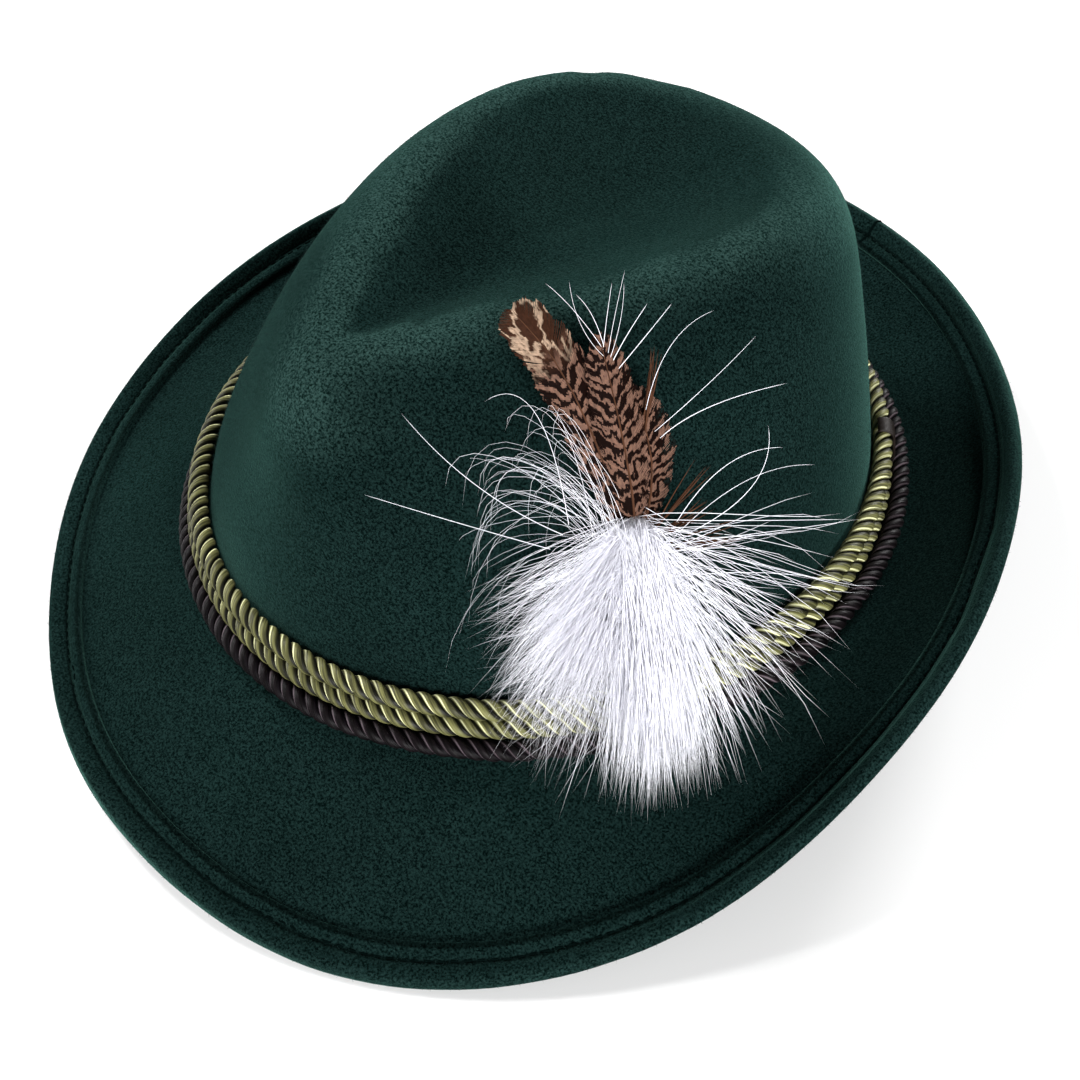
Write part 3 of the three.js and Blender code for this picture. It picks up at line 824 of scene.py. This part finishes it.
def make_binding(nodes, material):
    """Turns of dark thread side by side over the two olive cords."""
    low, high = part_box("cord_binding")
    middle = (low + high) / 2
    top, length = closed_curve(cord_line(nodes["cord_top"]), BINDING_STEPS)
    lower, _ = closed_curve(cord_line(nodes["cord_middle"]), BINDING_STEPS)
    start = int(np.argmin(np.linalg.norm(top - np.array(middle), axis=1)))
    step = max(1, round(THREAD_PITCH / length * BINDING_STEPS))
    radius = CORD_RADIUS + THREAD_PROUD
    over = np.radians(np.linspace(-THREAD_REACH, 0, THREAD_STATIONS))
    under = np.radians(np.linspace(0, THREAD_REACH, THREAD_STATIONS))
    paths = []
    for turn in range(THREAD_TURNS):
        i = (start + (turn - THREAD_TURNS // 2) * step) % BINDING_STEPS
        upper_middle = top[i]
        lower_middle = lower[np.argmin(np.linalg.norm(lower - upper_middle, axis=1))]
        forward = unit(top[(i + 1) % BINDING_STEPS] - top[i - 1])
        down = unit(lower_middle - upper_middle)
        out = unit(np.cross(down, forward))
        out = out if out @ upper_middle > 0 else -out
        path = []
        for centre, angles in ((upper_middle, over), (lower_middle, under)):
            path += [centre + radius * (np.cos(a) * out + np.sin(a) * down) for a in angles]
        paths.append(path)
    widths = np.full((THREAD_TURNS, 2 * THREAD_STATIONS), THREAD_WIDTH)
    points, faces = strands(np.array(paths), widths, sides=6)
    piece = mesh_piece("cord_binding_thread", points, faces)
    finish_piece(piece, material, ["cord_binding"])


# Down and wisps

def on_plume(back, up, out):
    """Points in metres from places in the plume's own frame."""
    frame = np.array([PLUME_BACK, PLUME_UP, PLUME_OUT])
    places = np.stack(np.broadcast_arrays(back, up, out), axis=-1)
    return places @ frame + np.array(PLUME_ORIGIN)


# How far the down reaches and how high its tips stand off the wall, as shares of the plume's
# reach and the head's thickness, by the direction in degrees from straight up towards the rear
DOWN_FAN = [
    (-20, 0.86, 1.2), (-46, 0.84, 1.4), (-66, 0.74, 1.5), (-87, 0.72, 1.8), (-106, 0.78, 2.2),
    (-124, 0.84, 2.8), (-141, 0.88, 3.4), (-158, 0.9, 3.8), (-175, 0.9, 4), (-192, 0.94, 4),
    (-208, 0.96, 3.9), (-223, 0.98, 3.4), (-238, 0.97, 2.8), (-252, 0.96, 2.2), (-266, 1.02, 1.6),
    (-280, 0.8, 1.2),
]
FAN_ENDS = (-280, -20)
FAN_REACH, FAN_LIFT = 1, 2  # columns
DOWN_STATIONS = 7
TUFT_SCATTER = 5  # degrees
ROOT_REACH = 6 * MM  # the strands' roots lie within this of the head's middle
ROOT_HIGHER = 1.5  # and within this much more of it upwards and downwards
ROOT_MIDDLE = (1 * MM, 12 * MM)
FLATTENED = (1, 1, 0.4)  # strands scatter less away from the wall than along it

# A layer of down: how many strands it has in how many tufts, a tuft's least and greatest share
# of the reach, its spread in degrees, how much a strand is drawn aside for its reach, how high
# it rises first, and its width
Layer = namedtuple("Layer", "name strands tufts least most spread curl rise width")
DOWN_LAYERS = [
    Layer("plume_down_core", 3900, 160, 0.45, 1.04, 3, 0.04, 9 * MM, 0.32 * MM),
    Layer("plume_down_front", 1900, 200, 0.5, 1.05, 4, 0.18, 10 * MM, 0.15 * MM),
    Layer("plume_down_rear", 140, 110, 0.5, 1.12, 2, 0.1, 10 * MM, 0.22 * MM),
    Layer("plume_down_spray", 220, 190, 0.6, 1.16, 2, 0.12, 12 * MM, 0.21 * MM),
]
DIRECTIONS = 600  # drawn for each layer, for its tufts to take


def fan_value(angles, column):
    rows = np.array(DOWN_FAN)[::-1]
    return np.interp(angles, rows[:, 0], rows[:, column])


def arcs(first, second, third, last, stations):
    """Curves from their end points and two points that draw them aside, in the plume's frame."""
    t = np.linspace(0, 1, stations)[None, :, None]
    ends = first[:, None] * (1 - t) ** 3 + last[:, None] * t**3
    return ends + 3 * second[:, None] * t * (1 - t) ** 2 + 3 * third[:, None] * t**2 * (1 - t)


def down_roots(rng, count):
    """Places in the plume's bound head."""
    turn = rng.uniform(0, FULL_TURN, count)
    away = ROOT_REACH * np.sqrt(rng.uniform(0, 1, count))
    height = rng.uniform(0.2, 1.3, count) * HEAD_THICKNESS
    back = away * np.sin(turn) + ROOT_MIDDLE[0]
    up = ROOT_HIGHER * away * np.cos(turn) + ROOT_MIDDLE[1]
    return np.stack([back, up, height], axis=1)


def down_tips(rng, layer, directions):
    """How far strands reach, how high their tips stand and their directions, in tufts."""
    count, tufts = layer.strands, layer.tufts
    tuft_angle = rng.choice(directions, tufts) + rng.normal(0, TUFT_SCATTER, tufts)
    tuft_angle = np.clip(tuft_angle, *FAN_ENDS)
    tuft_share = rng.uniform(layer.least, layer.most, tufts)
    tuft_lift = rng.uniform(0.1, 1.0, tufts)
    tuft = rng.integers(0, tufts, count)
    angle = tuft_angle[tuft] + rng.normal(0, layer.spread, count)
    share = tuft_share[tuft] * rng.uniform(0.7, 1.06, count)
    reach = share * fan_value(angle, FAN_REACH) * PLUME_REACH
    raised = np.clip(tuft_lift[tuft] + rng.normal(0, 0.12, count), 0.05, 1)
    return reach, fan_value(angle, FAN_LIFT) * HEAD_THICKNESS * raised, angle


def down_paths(rng, layer, directions):
    """Strands that spring upwards from the plume's head, part and fall outwards in tufts."""
    count = layer.strands
    reach, lift, angle = down_tips(rng, layer, directions)
    turn = np.radians(angle)
    level = np.zeros(count)
    outward = np.stack([np.sin(turn), np.cos(turn), level], axis=1)
    beside = np.stack([np.cos(turn), -np.sin(turn), level], axis=1)
    root = down_roots(rng, count)
    tip = outward * reach[:, None] + np.array([0, 0, 1]) * lift[:, None]
    falling = np.clip(1 - outward[:, 1], 0.3, 2) / 2
    upward = np.zeros((count, 3))
    upward[:, 1] = rng.uniform(0.3, 1.0, count) * layer.rise * falling
    proud = np.zeros((count, 3))
    proud[:, 2] = rng.uniform(0.2, 1.0, count) * 0.24 * reach
    bow = beside * (rng.normal(0, layer.curl, count) * reach)[:, None]
    second = root + 0.16 * (tip - root) + 1.5 * upward + proud
    third = root + 0.66 * (tip - root) + 0.5 * upward + proud + bow
    return arcs(root, second, third, tip, DOWN_STATIONS)


def down_widths(rng, count, stations, width):
    taper = np.linspace(1, 0.4, stations)
    return rng.uniform(0.65, 1.3, count)[:, None] * taper[None] * width


def down_piece(rng, name, paths, width, material, replaced=()):
    """A piece of tapered strands from their paths in the plume's frame."""
    widths = down_widths(rng, *paths.shape[:2], width)
    points, faces = strands(on_plume(paths[..., 0], paths[..., 1], paths[..., 2]), widths)
    finish_piece(mesh_piece(name, points, faces), material, replaced)


def make_down(material):
    """The layers of down: straight below, in front, behind and all round."""
    rng = np.random.default_rng(7)
    below = rng.normal(-171, 7, DIRECTIONS)
    front = rng.normal(-120, 25, DIRECTIONS)
    rear = rng.normal(-216, 26, DIRECTIONS)
    every = rng.uniform(-280, -62, DIRECTIONS)
    for layer, directions in zip(DOWN_LAYERS, (below, front, rear, every)):
        paths = down_paths(rng, layer, directions)
        replaced = ["plume_down"] if layer.name == "plume_down_core" else ()
        down_piece(rng, layer.name, paths, layer.width, material, replaced)


# Loops of long down at the plume's front: tip and width of the loop in millimetres
LOOPS = [
    (-29, 52, 9), (-27.6, 44, 8), (-33, 40, 10), (-16, 58, 7), (-12, 61, 8), (-20, 50, 9),
    (-36, 30, 8), (-24, 56, 7), (-18, 42, 8), (-38, 22, 9), (-31, 47, 6),
]
LOOP_STRANDS = 5  # strands to each loop
LOOP_SCATTER = 3 * MM


def make_loops(material):
    """Fine strands that rise in front of the feathers and curl over."""
    rng = np.random.default_rng(11)
    rows = np.repeat(np.array(LOOPS, float), LOOP_STRANDS, axis=0) * MM
    count = len(rows)
    jitter = rng.normal(0, LOOP_SCATTER, (count, 3)) * FLATTENED
    low = rng.uniform(1, 7, count) * MM
    root_back = rng.normal(-5, 3, count) * MM
    root_up = rng.normal(12, 4, count) * MM
    root = np.stack([root_back, root_up, low], axis=1)
    top = np.stack([rows[:, 0], rows[:, 1], low + 3 * MM], axis=1) + jitter
    swing = rows[:, 2] * rng.uniform(0.2, 1.6, count)
    over_root = np.stack([np.full(count, 4 * MM), np.full(count, 10 * MM), low], axis=1)
    second = root + 0.2 * (top - root) + over_root
    third = top + np.stack([-0.1 * swing, 1.1 * swing, low], axis=1)
    scatter = rng.normal(0, LOOP_SCATTER, (count, 3)) * FLATTENED
    last = top + np.stack([-0.7 * swing, -1.5 * swing, low], axis=1) + scatter
    paths = arcs(root, second, third, last, 12)
    down_piece(rng, "plume_down_loops", paths, 0.12 * MM, material)


# Long single strands: root, a point that draws them aside, and tip, in millimetres
WHISKERS = [
    ((-20, 20, 6), (-40, 34, 6), (-59.3, 48.3, 6)),
    ((-16, 22, 5), (-36, 40, 6), (-45.8, 63.4, 4)),
    ((-14, 24, 5), (-12, 66, 8), (-27.5, 61, 8)),
    ((4, 60, 7), (-2, 76, 10), (-8.7, 84.7, 12)),
    ((4, 60, 7), (-4, 70, 10), (-3.2, 83.7, 12)),
    ((3, 62, 7), (2, 74, 10), (-2.4, 80, 12)),
    ((2, 62, 7), (4, 72, 10), (5.8, 80.9, 14)),
    ((3, 61, 7), (5, 70, 10), (9.3, 82.7, 14)),
    ((3, 60, 7), (8, 70, 10), (8.5, 80, 14)),
    ((4, 60, 7), (7, 66, 10), (13, 73.7, 14)),
    ((5, 58, 7), (14, 66, 10), (18.6, 71.9, 14)),
    ((10, 46, 6), (16, 66, 12), (27.6, 67.9, 16)),
    ((11, 40, 6), (26, 50, 12), (36.5, 59, 16)),
    ((12, 38, 6), (20, 47, 14), (41.9, 45.2, 16)),
    ((14, 12, 6), (35, 20, 16), (33.7, 38.5, 20)),
    ((10, 14, 6), (24, 34, 12), (38, 30, 16)),
    ((10, 12, 6), (30, 28, 12), (46, 22, 14)),
]
ASIDE = 0.67  # how far a strand's curve is drawn towards the point aside


def make_whiskers(material):
    rng = np.random.default_rng(5)
    rows = np.array(WHISKERS, float) * MM
    root, aside, tip = rows[:, 0], rows[:, 1], rows[:, 2]
    paths = arcs(root, root + ASIDE * (aside - root), tip + ASIDE * (aside - tip), tip, 16)
    down_piece(rng, "plume_whiskers", paths, 0.21 * MM, material)


# Sprigs of small brown barbs beside the feathers and in the down: root and tip in millimetres,
# how many barbs and how far their tips scatter
SPRIGS = [
    ((9, 40, 4), (14.5, 61, 8), 7, 0.9),
    ((4, 12, 4), (19, 18, 9), 8, 1.4),
    ((4, 10, 4), (26, 8, 9), 10, 1.8),
    ((5, 14, 4), (22, 28, 8), 6, 1.2),
]


def make_sprigs(material):
    rng = np.random.default_rng(17)
    for number, (root, tip, count, spread) in enumerate(SPRIGS, 1):
        first = np.array(root, float) * MM + rng.normal(0, 0.3 * MM, (count, 3))
        scatter = rng.normal(0, spread * MM, (count, 3)) * FLATTENED
        last = np.array(tip, float) * MM + scatter
        middle = (first + last) / 2 + rng.normal(0, 0.6 * MM, (count, 3))
        paths = arcs(first, middle, middle, last, DOWN_STATIONS)
        down_piece(rng, f"sprig_{number}", paths, 0.55 * MM, material)


# Feathers

# The middle line of each feather's vane and half its width, as shares of the feather length
# and width, from the root to the tip, after its place in the pile counted from the wall
FEATHERS = {
    "feather_short": (1, [
        (0, 0.091, 0.1), (0.06, 0.2, 0.24), (0.1, 0.3, 0.42), (0.12, 0.4, 0.5),
        (0.12, 0.5, 0.45), (0.11, 0.59, 0.28), (0.1, 0.65, 0.05),
    ]),
    "feather_long": (2, [
        (0, 0.091, 0.1), (-0.01, 0.22, 0.24), (-0.02, 0.38, 0.42), (-0.045, 0.54, 0.48),
        (-0.08, 0.7, 0.5), (-0.12, 0.83, 0.48), (-0.17, 0.93, 0.4), (-0.195, 0.975, 0.22),
        (-0.205, 1, 0.05),
    ]),
    "feather_middle": (3, [
        (0, 0.091, 0.1), (0.02, 0.2, 0.24), (0.033, 0.34, 0.42), (0.036, 0.48, 0.48),
        (0.034, 0.62, 0.44), (0.03, 0.74, 0.34), (0.027, 0.81, 0.2), (0.025, 0.85, 0.05),
    ]),
}
FEATHER_LENGTH = 80 * MM
FEATHER_WIDTH = 13 * MM
FEATHER_PITCH = 1.2 * MM
FEATHER_LEAN = 0.06
BARBS = 170  # along each side of a shaft
BARB_STATIONS = 6
BARB_SWEEP = 0.95  # how far a barb runs towards the tip for its reach
BARB_WIDTH = 0.66  # half its width at the root, as a share of the barbs' pitch
BARB_TAPER = 0.7
BARB_TILT = 0.04 * MM  # each barb is tilted a little, so that neighbours overlap
BLOTCH_FROM = 0.72  # the longest feather's tip is blotched beyond this share of its length
BAR_SPAN = 6  # the UV map's length along a whole feather


def feather_line(stations, count):
    """Evenly spaced places on a feather's middle line, with half the vane's width."""
    rows = np.array(stations)
    run = np.concatenate([[0], np.cumsum(np.hypot(*np.diff(rows[:, :2], axis=0).T))])
    places = np.linspace(0, run[-1], count)
    kernel = np.hanning(9)[1:-1]
    kernel = kernel / kernel.sum()
    smooth = []
    for column in range(3):
        values = np.interp(places, run, rows[:, column])
        padded = np.pad(values, 6, mode="edge")
        smooth.append(np.convolve(padded, kernel, mode="same")[6:-6])
    return np.stack(smooth, axis=1), places / run[-1]


def uneven_barbs(rng):
    """How far the barbs of one side reach and how far they part, from the root to the tip."""
    ragged = 1 + 0.05 * np.convolve(rng.normal(0, 1, BARBS), np.ones(5) / 2.5, mode="same")
    parted = np.zeros(BARBS)
    for split in rng.integers(20, BARBS - 12, 3):
        parted[split:] += rng.uniform(-0.12, 0.12)
    return ragged, parted


def barb_faces(start, hand, reach, share):
    """Faces of a barb's strip and their UV corners. The points of its two edges follow each
    other from start on. The hand is 1 on the shaft's rear side and -1 on its front side."""
    t = np.linspace(0, 1, BARB_STATIONS)
    faces, uvs = [], []
    for k in range(BARB_STATIONS - 1):
        other = start + BARB_STATIONS + k
        quad = (start + k, start + k + 1, other + 1, other)
        outs = (t[k], t[k + 1], t[k + 1], t[k])
        corners = [(hand * u * reach / FEATHER_WIDTH * 2, share * BAR_SPAN) for u in outs]
        faces.append(quad if hand > 0 else quad[::-1])
        uvs += corners if hand > 0 else corners[::-1]
    return faces, uvs


def make_vane(name, material, rng, middle, half, height, share):
    """Separate barbs on both sides of a shaft, each a narrow strip outwards."""
    along = unit(np.gradient(middle, axis=0))
    side = np.stack([along[:, 1], -along[:, 0]], axis=1)
    pitch = np.linalg.norm(np.diff(middle, axis=0), axis=1).mean()
    wide = pitch * BARB_WIDTH * np.linspace(1, BARB_TAPER, BARB_STATIONS)
    t = np.linspace(0, 1, BARB_STATIONS)
    points, faces, uvs, blotch = [], [], [], []
    for hand in (-1, 1):
        ragged, parted = uneven_barbs(rng)
        for i in range(2, BARBS - 1):
            reach = half[i] * np.clip(ragged[i] * rng.uniform(0.95, 1.03), 0.8, 1.08)
            rise = (BARB_SWEEP + parted[i]) * reach * 0.8 * t**1.3
            path = middle[i] + hand * side[i] * (reach * t)[:, None] + along[i] * rise[:, None]
            droop = height[i] + (0.4 - 0.6 * t**2) * MM + rng.normal(0, 0.06) * MM * t
            strip_faces, strip_uvs = barb_faces(len(points) * BARB_STATIONS, hand, reach, share[i])
            faces += strip_faces
            uvs += strip_uvs
            for edge in (-1, 1):
                flat = path + edge * along[i] * wide[:, None]
                points.append(on_plume(flat[:, 0], flat[:, 1], droop + edge * BARB_TILT))
            blotch += 2 * [np.clip((share[i] + 0.04 * t - BLOTCH_FROM) / 0.1, 0, 1)]
    piece = mesh_piece(name + "_vane", np.concatenate(points), np.array(faces), np.array(uvs))
    blotched = 1 if name == "feather_long" else 0
    write_attribute(piece.data, "blotch", blotched * np.concatenate(blotch))
    finish_piece(piece, material, [name])


def make_feather(name, vane_material, quill_material, rng):
    """A vane with its quill."""
    layer, stations = FEATHERS[name]
    line, share = feather_line(stations, BARBS)
    middle = line[:, :2] * FEATHER_LENGTH
    half = line[:, 2] * FEATHER_WIDTH
    height = layer * FEATHER_PITCH + FEATHER_LEAN * middle[:, 1]
    make_vane(name, vane_material, rng, middle, half, height, share)
    quill_line = on_plume(middle[:, 0], middle[:, 1], height + 0.5 * MM)[None, ::6]
    quill_width = np.linspace(0.8, 0.2, quill_line.shape[1])[None] * MM
    points, faces = strands(quill_line, quill_width, sides=6)
    finish_piece(mesh_piece(name + "_quill", points, faces), quill_material)


# The room, light and camera

def make_floor(material):
    deselect_all()
    bpy.ops.mesh.primitive_plane_add(size=FLOOR_SIDE, location=(0, 0, 0))
    floor = bpy.context.active_object
    floor.name = "floor"
    bpy.ops.object.transform_apply(location=True, rotation=True, scale=True)
    floor.data.materials.append(material)


def add_lamp(name, place, side, power):
    light = bpy.data.lights.new(name, "AREA")
    light.size = side
    light.energy = power
    lamp = bpy.data.objects.new(name, light)
    lamp.location = place
    lamp.rotation_euler = (-Vector(place)).to_track_quat("-Z", "Y").to_euler()
    bpy.context.scene.collection.objects.link(lamp)


def make_room():
    world = bpy.data.worlds.new("studio")
    world.use_nodes = True
    background = world.node_tree.nodes["Background"]
    background.inputs["Color"].default_value = (1, 1, 1, 1)
    background.inputs["Strength"].default_value = WORLD_LIGHT
    bpy.context.scene.world = world
    for name, (place, side, power) in LAMPS.items():
        add_lamp(name, place, side, power)
    bpy.context.scene.view_settings.view_transform = "Standard"


def make_camera():
    camera = bpy.data.cameras.new("camera")
    camera.sensor_width = SENSOR
    camera.lens = FOCAL_PIXELS / PHOTO_SIDE * SENSOR
    camera.shift_x = (PHOTO_SIDE / 2 - VIEW_MIDDLE[0]) / PHOTO_SIDE
    camera.shift_y = (VIEW_MIDDLE[1] - PHOTO_SIDE / 2) / PHOTO_SIDE
    camera.clip_start = 0.01
    holder = bpy.data.objects.new("camera", camera)
    holder.location = CAMERA_PLACE
    holder.rotation_euler = [math.radians(a) for a in CAMERA_TURN]
    bpy.context.scene.collection.objects.link(holder)
    bpy.context.scene.camera = holder


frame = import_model()
deselect_all()
nodes = frame["nodes"]

# Colours, and for satin and fibres the roughness and how much they shine
speckle = speckle_group()
green_felt = felt_material(
    speckle, "green_felt", (0.0006, 0.0026, 0.0024), (0.0082, 0.0215, 0.0197))
# For satin, the first colour is painted shade in the furrows and the third a painted highlight
# along each strand
olive_satin = satin_material(
    "olive_satin", (0.006, 0.006, 0.003), (0.15, 0.148, 0.055), (0.7, 0.7, 0.4), 0.5, 0.2)
brown_satin = satin_material(
    "brown_satin", (0.003, 0.002, 0.003), (0.006, 0.004, 0.005), (0.09, 0.07, 0.08), 0.5, 0.1)
barred_feather = feather_material()
dark_thread = plain_fibre_material(speckle, "dark_thread", (0.014, 0.009, 0.007), 0.5, 0.25)
green_thread = plain_fibre_material(speckle, "green_thread", (0.0012, 0.004, 0.0036), 1.0, 0.0)
felt_fuzz = plain_fibre_material(speckle, "felt_fuzz", (0.016, 0.042, 0.038), 0.9, 0.1)
brown_quill = plain_fibre_material(speckle, "brown_quill", (0.075, 0.032, 0.017), 0.7, 0.05)
white_down = down_material("white_down", (0.93, 0.93, 1.0))

felt = make_felt(nodes, green_felt)
make_nap(felt, felt_fuzz)
make_stitches(felt, green_thread)
make_cord("cord_top_rope", nodes["cord_top"], olive_satin)
make_cord("cord_middle_rope", nodes["cord_middle"], olive_satin)
make_cord("cord_lower_rope", nodes["cord_lower"], brown_satin)
make_binding(nodes, dark_thread)
feather_rng = np.random.default_rng(3)
for feather_name in FEATHERS:
    make_feather(feather_name, barred_feather, brown_quill, feather_rng)
make_down(white_down)
make_loops(white_down)
make_whiskers(white_down)
make_sprigs(brown_quill)

make_floor(floor_material())
make_room()
make_camera()
